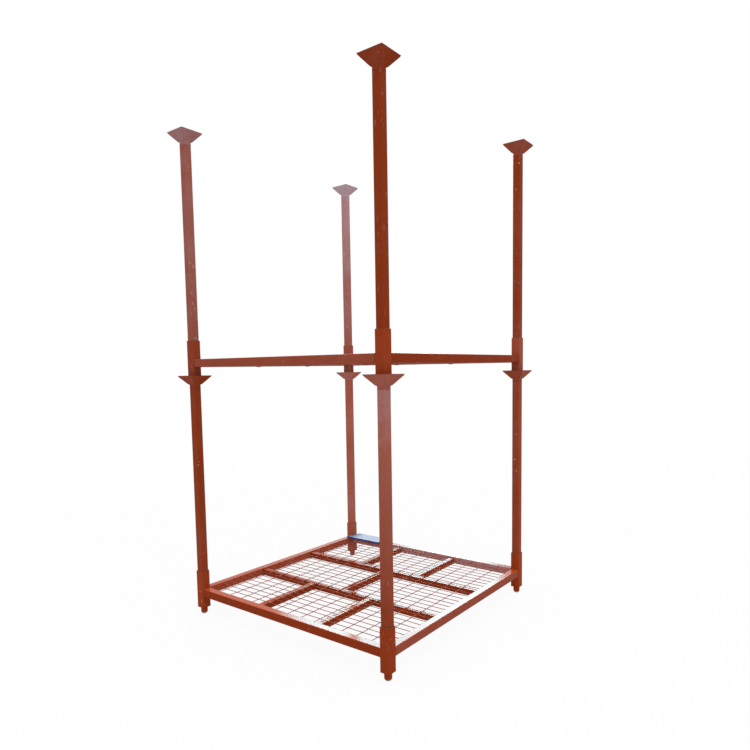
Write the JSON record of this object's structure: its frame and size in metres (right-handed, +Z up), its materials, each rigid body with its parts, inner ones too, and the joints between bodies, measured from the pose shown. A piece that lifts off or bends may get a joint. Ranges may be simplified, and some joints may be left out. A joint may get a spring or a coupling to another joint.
{
  "type": "pallet stacking rack",
  "caption": "Stacked steel post pallets: wire mesh decks in box section bases, lift-out corner posts, and flared cups that seat the feet of the rack above.",
  "frame": {"origin": "on the floor, midway between the lower rack's four feet", "axes": "+X right along the front rail, +Y from the front rail to the back rail, +Z up the posts"},
  "size_m": [1.65, 1.65, 3.0277],
  "materials": {
    "base_paint": "semi-gloss red-brown paint on the sockets and rails, with pale worn edges",
    "bar_paint": "semi-gloss dark red-brown paint on the deck bars",
    "post_paint": "semi-gloss red-brown paint with small chips",
    "cup_paint": "semi-gloss red-brown paint, rubbed inside the cup",
    "foot_paint": "red-brown paint worn dark at the pin",
    "mesh_paint": "thin red-brown paint on wire",
    "blue_enamel": "plain blue enamel, no lettering"
  },
  "bodies": {
    "lower_base": {"lower_front_left_socket": "base_paint", "lower_front_left_foot": "foot_paint", "lower_front_right_socket": "base_paint", "lower_front_right_foot": "foot_paint", "lower_back_right_socket": "base_paint", "lower_back_right_foot": "foot_paint", "lower_back_left_socket": "base_paint", "lower_back_left_foot": "foot_paint", "lower_front_rail": "base_paint", "lower_right_rail": "base_paint", "lower_back_rail": "base_paint", "lower_left_rail": "base_paint", "lower_front_long_bar": "bar_paint", "lower_back_long_bar": "bar_paint", "lower_front_left_short_bar": "bar_paint", "lower_front_right_short_bar": "bar_paint", "lower_middle_short_bar": "bar_paint", "lower_back_left_short_bar": "bar_paint", "lower_back_right_short_bar": "bar_paint", "lower_mesh_line_wires": "mesh_paint", "lower_mesh_cross_wires": "mesh_paint", "blue_plate": "blue_enamel"},
    "lower_front_left_post": {"lower_front_left_post": "post_paint", "lower_front_left_cup": "cup_paint"},
    "lower_front_right_post": {"lower_front_right_post": "post_paint", "lower_front_right_cup": "cup_paint"},
    "lower_back_right_post": {"lower_back_right_post": "post_paint", "lower_back_right_cup": "cup_paint"},
    "lower_back_left_post": {"lower_back_left_post": "post_paint", "lower_back_left_cup": "cup_paint"},
    "upper_base": {"upper_front_left_socket": "base_paint", "upper_front_left_foot": "foot_paint", "upper_front_right_socket": "base_paint", "upper_front_right_foot": "foot_paint", "upper_back_right_socket": "base_paint", "upper_back_right_foot": "foot_paint", "upper_back_left_socket": "base_paint", "upper_back_left_foot": "foot_paint", "upper_front_rail": "base_paint", "upper_right_rail": "base_paint", "upper_back_rail": "base_paint", "upper_left_rail": "base_paint", "upper_front_long_bar": "bar_paint", "upper_back_long_bar": "bar_paint", "upper_front_left_short_bar": "bar_paint", "upper_front_right_short_bar": "bar_paint", "upper_middle_short_bar": "bar_paint", "upper_back_left_short_bar": "bar_paint", "upper_back_right_short_bar": "bar_paint", "upper_mesh_line_wires": "mesh_paint", "upper_mesh_cross_wires": "mesh_paint"},
    "upper_front_left_post": {"upper_front_left_post": "post_paint", "upper_front_left_cup": "cup_paint"},
    "upper_front_right_post": {"upper_front_right_post": "post_paint", "upper_front_right_cup": "cup_paint"},
    "upper_back_right_post": {"upper_back_right_post": "post_paint", "upper_back_right_cup": "cup_paint"},
    "upper_back_left_post": {"upper_back_left_post": "post_paint", "upper_back_left_cup": "cup_paint"}
  },
  "joints": [
    {"name": "lower_front_right_post_lift", "type": "slide", "parent": "lower_base", "child": "lower_front_right_post", "axis": [0, 0, 1], "range_m": [0, 0.23]},
    {"name": "lower_front_left_post_lift", "type": "slide", "parent": "lower_base", "child": "lower_front_left_post", "axis": [0, 0, 1], "range_m": [0, 0.23]},
    {"name": "lower_back_right_post_lift", "type": "slide", "parent": "lower_base", "child": "lower_back_right_post", "axis": [0, 0, 1], "range_m": [0, 0.23]},
    {"name": "lower_back_left_post_lift", "type": "slide", "parent": "lower_base", "child": "lower_back_left_post", "axis": [0, 0, 1], "range_m": [0, 0.23]},
    {"name": "upper_rack_lift", "type": "slide", "parent": "lower_front_right_post", "child": "upper_base", "axis": [0, 0, 1], "range_m": [0, 0.25]},
    {"name": "upper_front_left_post_lift", "type": "slide", "parent": "upper_base", "child": "upper_front_left_post", "axis": [0, 0, 1], "range_m": [0, 0.23]},
    {"name": "upper_front_right_post_lift", "type": "slide", "parent": "upper_base", "child": "upper_front_right_post", "axis": [0, 0, 1], "range_m": [0, 0.23]},
    {"name": "upper_back_right_post_lift", "type": "slide", "parent": "upper_base", "child": "upper_back_right_post", "axis": [0, 0, 1], "range_m": [0, 0.23]},
    {"name": "upper_back_left_post_lift", "type": "slide", "parent": "upper_base", "child": "upper_back_left_post", "axis": [0, 0, 1], "range_m": [0, 0.23]}
  ],
  "couplings": [
    {"joint": "lower_front_left_post_lift", "follows": "lower_front_right_post_lift", "ratio": 1},
    {"joint": "lower_back_right_post_lift", "follows": "lower_front_right_post_lift", "ratio": 1},
    {"joint": "lower_back_left_post_lift", "follows": "lower_front_right_post_lift", "ratio": 1}
  ]
}
